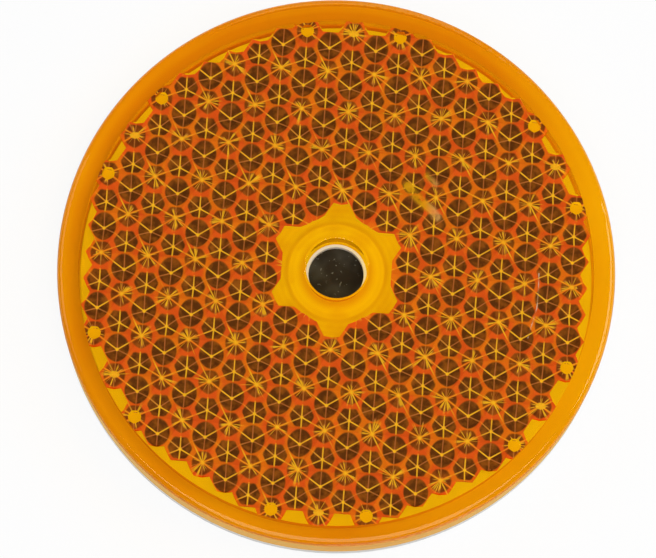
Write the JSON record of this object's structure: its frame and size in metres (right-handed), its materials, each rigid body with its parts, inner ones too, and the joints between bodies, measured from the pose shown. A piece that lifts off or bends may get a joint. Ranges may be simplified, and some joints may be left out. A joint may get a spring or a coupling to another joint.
{
  "type": "adhesive reflector",
  "caption": "Round amber prism reflector with a plain screw hole in the middle, a white back plate and a foam tape with its liner on the back.",
  "frame": {"origin": "middle of the underside, on the release liner", "axes": "+Z out of the reflecting face, +X to the right and +Y up as seen in the picture; the reflector lies face up"},
  "size_m": [0.06, 0.06, 0.0079],
  "materials": {
    "amber_lens": "clear amber acrylic, polished",
    "white_plate": "moulded white plastic",
    "white_foam": "closed-cell foam",
    "brown_paper": "glazed release paper"
  },
  "bodies": {
    "root": {"lens": "amber_lens", "back_plate": "white_plate", "foam_tape": "white_foam", "release_liner": "brown_paper"}
  },
  "joints": []
}
